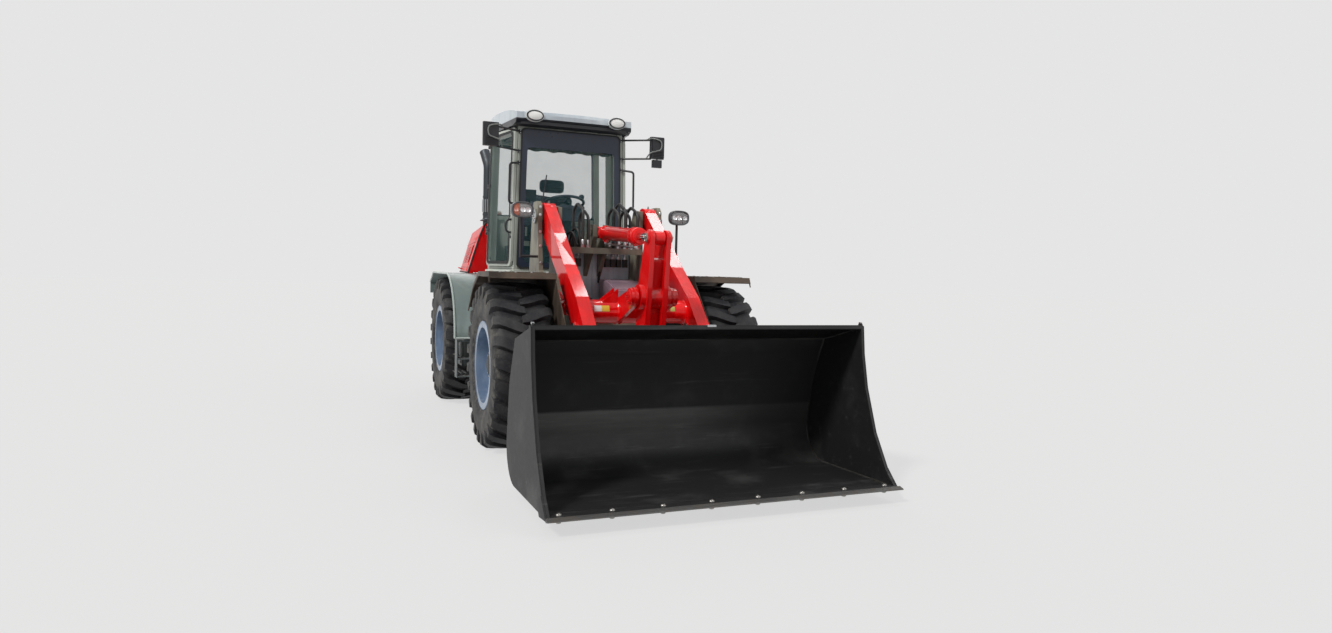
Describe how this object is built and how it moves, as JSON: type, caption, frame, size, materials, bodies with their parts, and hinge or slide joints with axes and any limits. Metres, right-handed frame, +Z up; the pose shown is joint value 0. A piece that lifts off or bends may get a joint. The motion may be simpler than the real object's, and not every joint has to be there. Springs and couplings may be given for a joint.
{
  "type": "articulated wheel loader",
  "caption": "Articulated wheel loader with a Z-bar lift arm, general-purpose bucket, glazed cab with opening doors, and a rear-hinged engine hood",
  "frame": {"origin": "on the ground, at the bottom centre of the machine's bounding box", "axes": "+Z up; the bucket points to -Y and the counterweight to +Y; +X is the machine's left side; left and right are alike about X = 0"},
  "size_m": [2.278, 6.14, 2.9148],
  "materials": {
    "machine_red": "gloss red paint",
    "cab_grey": "satin grey-green paint",
    "frame_grey": "satin grey paint",
    "front_fender_paint": "dark brown-black",
    "bucket_black": "soft-sheen black paint",
    "wear_steel": "worn steel",
    "pin_steel": "turned steel",
    "rod_chrome": "polished",
    "cylinder_grey": "satin",
    "tyre_rubber": "dusty rubber",
    "rim_paint": "light blue-grey",
    "cab_glass": "pale green tint",
    "seat_fabric": "dark woven fabric",
    "interior_plastic": "matte",
    "black_trim": "satin black",
    "hose_rubber": "black rubber",
    "lamp_plastic": "clear lens, black shell",
    "exhaust_metal": "heat-dulled",
    "intake_plastic": "grey-green",
    "engine_paint": "painted iron"
  },
  "bodies": {
    "rear_body": {"rear_chassis": "frame_grey", "rear_axle": "frame_grey", "counterweight": "frame_grey", "engine_block": "engine_paint", "cab_floor": "cab_grey", "cab_frame": "cab_grey", "cab_roof": "cab_grey", "fixed_glass": "cab_glass", "door_hinges": "frame_grey", "seat_base": "interior_plastic", "seat_cushions": "seat_fabric", "steering_column": "interior_plastic", "rear_fenders": "frame_grey", "side_steps": "frame_grey", "mirrors": "black_trim", "grab_rails": "black_trim", "work_lights": "lamp_plastic"},
    "front_body": {"front_chassis": "frame_grey", "front_axle": "frame_grey", "front_fenders": "front_fender_paint", "headlights": "lamp_plastic", "hydraulic_hoses": "hose_rubber"},
    "hood": {"engine_hood": "machine_red", "exhaust_stack": "exhaust_metal", "air_intake": "intake_plastic"},
    "left_door": {"door_left": "cab_grey", "door_glass_left": "cab_glass"},
    "right_door": {"door_right": "cab_grey", "door_glass_right": "cab_glass"},
    "arm": {"lift_arm": "machine_red"},
    "lever_pin_body": {"lever_pin": "pin_steel"},
    "lever": {"bellcrank": "machine_red"},
    "hitch_pin_body": {"hitch_shafts": "pin_steel"},
    "bucket_body": {"quick_hitch": "bucket_black", "bucket": "bucket_black", "cutting_edge": "wear_steel"},
    "link_pin_body": {"link_pin": "pin_steel"},
    "link": {"tilt_link": "machine_red"},
    "tilt_barrel_body": {"tilt_barrel": "machine_red"},
    "tilt_rod_body": {"tilt_rod": "rod_chrome"},
    "lift_barrel_body": {"lift_barrels": "machine_red"},
    "lift_rod_body": {"lift_rods": "rod_chrome"},
    "steer_barrel_left_body": {"steer_barrel_left": "cylinder_grey"},
    "steer_rod_left_body": {"steer_rod_left": "rod_chrome"},
    "steer_barrel_right_body": {"steer_barrel_right": "cylinder_grey"},
    "steer_rod_right_body": {"steer_rod_right": "rod_chrome"},
    "wheel_front_left": {"tyre_front_left": "tyre_rubber", "rim_front_left": "rim_paint"},
    "wheel_front_right": {"tyre_front_right": "tyre_rubber", "rim_front_right": "rim_paint"},
    "wheel_rear_left": {"tyre_rear_left": "tyre_rubber", "rim_rear_left": "rim_paint"},
    "wheel_rear_right": {"tyre_rear_right": "tyre_rubber", "rim_rear_right": "rim_paint"}
  },
  "joints": [
    {"name": "articulation", "type": "hinge", "parent": "rear_body", "child": "front_body", "pos_m": [0, 0.515, 0.8], "axis": [0, 0, 1], "range_deg": [-35, 35]},
    {"name": "lift", "type": "hinge", "parent": "front_body", "child": "arm", "pos_m": [0, -0.3, 1.85], "axis": [-1, 0, 0], "range_deg": [0, 84]},
    {"name": "lever_pin_turn", "type": "hinge", "parent": "arm", "child": "lever_pin_body", "pos_m": [0, -1.6, 1.225], "axis": [-1, 0, 0], "range_deg": [-2, 17]},
    {"name": "lever_turn", "type": "hinge", "parent": "lever_pin_body", "child": "lever", "pos_m": [0, -1.6, 1.225], "axis": [-1, 0, 0], "range_deg": [-10, 10]},
    {"name": "hitch_pin_turn", "type": "hinge", "parent": "arm", "child": "hitch_pin_body", "pos_m": [0, -1.835, 0.36], "axis": [-1, 0, 0], "range_deg": [-86, 2]},
    {"name": "bucket_tilt", "type": "hinge", "parent": "hitch_pin_body", "child": "bucket_body", "pos_m": [0, -1.835, 0.36], "axis": [-1, 0, 0], "range_deg": [-42, 40]},
    {"name": "link_pin_turn", "type": "hinge", "parent": "bucket_body", "child": "link_pin_body", "pos_m": [0, -1.94, 0.555], "axis": [-1, 0, 0], "range_deg": [-2, 42.9]},
    {"name": "link_turn", "type": "hinge", "parent": "link_pin_body", "child": "link", "pos_m": [0, -1.94, 0.555], "axis": [-1, 0, 0], "range_deg": [-30, 30]},
    {"name": "tilt_barrel_swing", "type": "hinge", "parent": "front_body", "child": "tilt_barrel_body", "pos_m": [0, -0.35, 1.735], "axis": [-1, 0, 0], "range_deg": [-2, 85.1]},
    {"name": "tilt_rod_slide", "type": "slide", "parent": "tilt_barrel_body", "child": "tilt_rod_body", "axis": [0, -0.998, -0.0633], "range_m": [-0.06, 0.06]},
    {"name": "lift_barrel_swing", "type": "hinge", "parent": "front_body", "child": "lift_barrel_body", "pos_m": [0, -0.18, 1.32], "axis": [-1, 0, 0], "range_deg": [-2, 71.6]},
    {"name": "lift_rod_slide", "type": "slide", "parent": "lift_barrel_body", "child": "lift_rod_body", "axis": [0, -0.9607, -0.2775], "range_m": [-0.005, 0.6301]},
    {"name": "steer_barrel_left_swing", "type": "hinge", "parent": "rear_body", "child": "steer_barrel_left_body", "pos_m": [0.4, 0.965, 0.93], "axis": [0, 0, 1], "range_deg": [-18, 18]},
    {"name": "steer_rod_left_slide", "type": "slide", "parent": "steer_barrel_left_body", "child": "steer_rod_left_body", "axis": [-0.0444, -0.999, 0], "range_m": [-0.24, 0.24]},
    {"name": "steer_barrel_right_swing", "type": "hinge", "parent": "rear_body", "child": "steer_barrel_right_body", "pos_m": [-0.4, 0.965, 0.93], "axis": [0, 0, 1], "range_deg": [-18, 18]},
    {"name": "steer_rod_right_slide", "type": "slide", "parent": "steer_barrel_right_body", "child": "steer_rod_right_body", "axis": [0.0444, -0.999, 0], "range_m": [-0.24, 0.24]},
    {"name": "door_left_swing", "type": "hinge", "parent": "rear_body", "child": "left_door", "pos_m": [0.66426, 1.25508, 2.22038], "axis": [-0.0232, 0.0039, 0.9997], "range_deg": [0, 85]},
    {"name": "door_right_swing", "type": "hinge", "parent": "rear_body", "child": "right_door", "pos_m": [-0.66426, 1.25508, 2.22038], "axis": [0.0232, 0.0039, 0.9997], "range_deg": [-85, 0]},
    {"name": "hood_lift", "type": "hinge", "parent": "rear_body", "child": "hood", "pos_m": [0, 2.905, 1.437], "axis": [-1, 0, 0], "range_deg": [0, 55]},
    {"name": "roll_front_left", "type": "hinge", "parent": "front_body", "child": "wheel_front_left", "pos_m": [0.855, -0.74, 0.65], "axis": [1, 0, 0], "continuous": true},
    {"name": "roll_front_right", "type": "hinge", "parent": "front_body", "child": "wheel_front_right", "pos_m": [-0.855, -0.74, 0.65], "axis": [1, 0, 0], "continuous": true},
    {"name": "roll_rear_left", "type": "hinge", "parent": "rear_body", "child": "wheel_rear_left", "pos_m": [0.855, 1.77, 0.65], "axis": [1, 0, 0], "continuous": true},
    {"name": "roll_rear_right", "type": "hinge", "parent": "rear_body", "child": "wheel_rear_right", "pos_m": [-0.855, 1.77, 0.65], "axis": [1, 0, 0], "continuous": true}
  ],
  "couplings": [
    {"joint": "lever_pin_turn", "follows": "lift", "ratio": 0.179},
    {"joint": "lever_turn", "follows": "bucket_tilt", "ratio": -0.165},
    {"joint": "hitch_pin_turn", "follows": "lift", "ratio": -1},
    {"joint": "link_pin_turn", "follows": "lift", "ratio": 0.487},
    {"joint": "link_turn", "follows": "bucket_tilt", "ratio": -0.652},
    {"joint": "tilt_barrel_swing", "follows": "lift", "ratio": 0.98936},
    {"joint": "tilt_rod_slide", "follows": "bucket_tilt", "m_per_rad": 0.06923},
    {"joint": "lift_barrel_swing", "follows": "lift", "ratio": 0.82916},
    {"joint": "lift_rod_slide", "follows": "lift", "m_per_rad": 0.4264},
    {"joint": "steer_barrel_left_swing", "follows": "articulation", "ratio": 0.48185},
    {"joint": "steer_rod_left_slide", "follows": "articulation", "m_per_rad": -0.37413},
    {"joint": "steer_barrel_right_swing", "follows": "articulation", "ratio": 0.48185},
    {"joint": "steer_rod_right_slide", "follows": "articulation", "m_per_rad": 0.37413}
  ]
}
